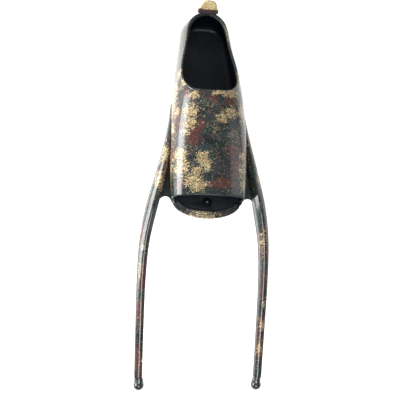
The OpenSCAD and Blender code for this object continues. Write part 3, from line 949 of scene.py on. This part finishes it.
def camo_material(name, lining_shade=LINING):
    """Glossy moulded rubber with a leaf-litter camouflage, dull and dark where its lining field is 1."""
    n = Nodes(name)
    place = n.attribute("place", "Vector")
    lining = n.attribute("lining")
    wander = n.move(place, 0.5, 1.2, 4.0)
    torn = n.move(wander, 0.30, 4.5, 3.0)
    colour = camo_maroon(n, torn, camo_ground(n, wander, torn))
    colour, cream_share = camo_cream(n, torn, colour)
    rough, normal = camo_gloss(n, place, cream_share)
    shine = n.math("SUBTRACT", 1.0, n.math("MULTIPLY", lining, 0.8))
    n.shader.inputs["Coat Roughness"].default_value = 0.10
    shine = n.math("MULTIPLY", shine, 0.5)
    return n.finish(Base_Color=n.mix(lining, colour, lining_shade), Roughness=rough, Normal=normal,
                    Specular_IOR_Level=shine, Coat_Weight=shine)


def rubber_material(name, dark, light, gloss, coat):
    """Plain moulded rubber with cloudy tone, mould grain and rubbed spots."""
    n = Nodes(name)
    place = n.attribute("place", "Vector")
    clouds = n.noise(n.move(place, 0.4, 0.9), 0.8, 5.0, 0.6)
    colour = n.mix(n.step(clouds, 0.35, 0.7), dark, light)
    along = n.vector("MULTIPLY", place, (1.0, 0.2, 1.0))
    rubbed = n.step(n.noise(along, 9.0, 4.0, 0.7), 0.62, 0.80)
    colour = n.mix(n.math("MULTIPLY", rubbed, 0.25), colour, tuple(2.2 * c + 0.01 for c in light))
    rough = n.math("ADD", n.math("MULTIPLY", clouds, 0.20), gloss)
    rough = n.math("ADD", rough, n.math("MULTIPLY", rubbed, 0.12))
    normal = n.bump(n.noise(place, 1.6, 3.0, 0.5), 0.15, 0.001)
    normal = n.bump(n.noise(place, 26.0, 3.0, 0.65), 0.30, 0.00015, normal)
    n.shader.inputs["Coat Weight"].default_value = coat
    n.shader.inputs["Coat Roughness"].default_value = 0.18
    return n.finish(Base_Color=colour, Roughness=rough, Normal=normal)


def tab_material():
    """Cream rubber with brown specks, its foot torn into purple and maroon."""
    n = Nodes("pull_tab_cream")
    place = n.move(n.attribute("place", "Vector"), 0.3, 3.0)
    tone = n.mix(n.step(n.noise(place, 2.6, 5.0, 0.65, 1.0), 0.40, 0.68), CREAM, TAN)
    specks = n.step(n.noise(place, 4.4, 4.0, 0.75, 1.6), 0.50, 0.60)
    tone = n.mix(n.math("MULTIPLY", specks, 0.85), tone, (0.15, 0.095, 0.050))
    torn = n.math("MULTIPLY", n.about_zero(n.noise(place, 3.0, 5.0, 0.7)), 2.0)
    foot = n.step(n.math("ADD", n.attribute("lining"), torn), 0.40, 0.60)
    tone = n.mix(foot, tone, n.mix(specks, PURPLE_GREY, MAROON_DARK))
    rough = n.math("ADD", n.math("MULTIPLY", n.noise(place, 3.0, 3.0), 0.2), 0.24)
    normal = n.bump(n.noise(place, 30.0, 3.0, 0.6), 0.25, 0.00015)
    n.shader.inputs["Coat Weight"].default_value = 0.3
    n.shader.inputs["Coat Roughness"].default_value = 0.15
    return n.finish(Base_Color=tone, Roughness=rough, Normal=normal)


def foam_material():
    """Dark moulded foam with a fine pebbled face."""
    n = Nodes("footbed_foam")
    place = n.attribute("place", "Vector")
    clouds = n.noise(place, 0.6, 4.0, 0.6)
    colour = n.mix(n.step(clouds, 0.3, 0.7), (0.006, 0.009, 0.013), (0.014, 0.018, 0.024))
    pebbles = n.cells(place, 9.0)
    normal = n.bump(pebbles, 0.35, 0.0003)
    rough = n.math("ADD", n.math("MULTIPLY", clouds, 0.15), 0.42)
    return n.finish(Base_Color=colour, Roughness=rough, Normal=normal)


def steel_material():
    """Blackened steel with fine turning marks and paler worn spots."""
    n = Nodes("blackened_steel")
    place = n.attribute("place", "Vector")
    wear = n.step(n.noise(place, 9.0, 5.0, 0.7), 0.58, 0.72)
    colour = n.mix(n.math("MULTIPLY", wear, 0.5), (0.008, 0.009, 0.010), (0.10, 0.10, 0.11))
    rough = n.math("ADD", n.math("MULTIPLY", n.noise(place, 30.0, 3.0), 0.25), 0.28)
    normal = n.bump(n.noise(n.vector("MULTIPLY", place, (1.0, 1.0, 12.0)), 20.0, 2.0), 0.2, 0.0001)
    n.shader.inputs["Metallic"].default_value = 0.6
    return n.finish(Base_Color=colour, Roughness=rough, Normal=normal)


# ---------------------------------------------------------------- putting it together
def worn(obj, material):
    """The piece with its material."""
    obj.data.materials.append(material)
    return obj


def dress_pocket(camo, edge):
    """The upper and its rim, baked in place, and the lip and bumper round the toes, attached to the pocket.
    """
    fold = {"start": on_sole(0, 45, 12), "end": on_sole(0, 15, 40)}
    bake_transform(worn(upper_skin(), camo))
    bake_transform(worn(rim_skin(), edge))
    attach(worn(toe_lip_skin(), edge), "pocket")
    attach(worn(toe_bumper_skin(), camo), "pocket")


def dress_tab():
    """The pull tab with its cream material, baked in place."""
    foot = on_sole(0, TAB_BACK, TAB_H)
    middle = on_sole(0, TAB_BACK - 5 * math.sin(TAB_LEAN), TAB_H + 5 * math.cos(TAB_LEAN))
    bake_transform(worn(pull_tab_skin(), tab_material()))


def dress_rails(camo, black):
    for side, name in ((-1, "left"), (1, "right")):
        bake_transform(worn(rail_skin(side, name), camo), "pocket", f"{name}_rail",
                 start=on_rails(0, 5, 0), end=on_rails(0, 33, 0))
        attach(worn(web_skin(side, name), black), "pocket")


def dress_hard_parts():
    sole = rubber_material("stiff_sole", (0.003, 0.006, 0.009), (0.007, 0.012, 0.017), 0.42, 0.05)
    grip = rubber_material("grip_rubber", (0.012, 0.014, 0.015), (0.028, 0.030, 0.031), 0.45, 0.0)
    steel = steel_material()
    for node, slot, material, width in (
            ("sole_plate", "stiff_sole", sole, 0.8), ("blade_seat", "stiff_sole", sole, 0.8),
            ("arch_ribs", "stiff_sole", sole, 0.9), ("heel_grip_pad", "black_rubber", grip, 0.6),
            ("forefoot_grip_pad", "black_rubber", grip, 0.6), ("screw_bush", "steel", steel, 0.3),
            ("blade_nut", "steel", steel, 0.3)):
        worn(softened(node, width), material)


def dress():
    camo = camo_material("camo_rubber")
    edge = camo_material("edge_rubber", (0.022, 0.028, 0.031))
    black = rubber_material("black_rubber", (0.005, 0.013, 0.016), (0.014, 0.030, 0.034), 0.20, 0.35)
    dress_pocket(camo, edge)
    dress_tab()
    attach(worn(footbed_skin(), foam_material()), "pocket")
    dress_rails(camo, black)
    dress_hard_parts()


# ---------------------------------------------------------------- studio
def softbox(name, place, aim, size, power, colour=(1, 1, 1)):
    light = bpy.data.lights.new(name, "AREA")
    light.shape = "RECTANGLE"
    light.size, light.size_y = size
    light.energy = power
    light.color = colour
    obj = bpy.data.objects.new(name, light)
    obj.location = place
    obj.rotation_euler = (Vector(aim) - Vector(place)).to_track_quat("-Z", "Y").to_euler()
    bpy.context.scene.collection.objects.link(obj)


def studio():
    scene = bpy.context.scene
    scene.view_settings.view_transform = "Standard"
    world = bpy.data.worlds.new("studio")
    world.use_nodes = True
    world.node_tree.nodes["Background"].inputs["Color"].default_value = (0.96, 0.98, 1.0, 1)
    world.node_tree.nodes["Background"].inputs["Strength"].default_value = 0.28
    scene.world = world
    bpy.ops.mesh.primitive_plane_add(size=12)
    floor = bpy.context.object
    floor.name = "floor"
    n = Nodes("pale_floor")
    tone = n.noise(n.add("ShaderNodeTexCoord", "Object"), 3.0)
    n.shader.inputs["Emission Color"].default_value = (1, 1, 1, 1)
    n.shader.inputs["Emission Strength"].default_value = 0.72
    n.shader.inputs["Specular IOR Level"].default_value = 0.1
    floor.data.materials.append(n.finish(Base_Color=n.mix(tone, (0.90, 0.90, 0.90), (0.94, 0.94, 0.94)),
                                         Roughness=0.9))
    softbox("left_box", (-1.55, 0.1, 0.62), (0, 0.05, 0.05), (1.6, 0.9), 46)
    softbox("front_box", (-0.05, -1.15, 1.75), (0, -0.15, 0), (1.2, 0.45), 16)
    softbox("right_box", (1.5, 0.3, 0.9), (0, 0.05, 0.05), (0.5, 1.4), 2.5)


def camera():
    data = bpy.data.cameras.new("camera")
    data.sensor_width = 36
    data.lens = 63.2
    data.clip_start = 0.05
    obj = bpy.data.objects.new("camera", data)
    obj.location = (-0.149, -0.147, 0.996)
    obj.rotation_euler = (math.radians(8.0), math.radians(-8.65), math.radians(0.78))
    bpy.context.scene.collection.objects.link(obj)
    bpy.context.scene.camera = obj


dress()
studio()
camera()
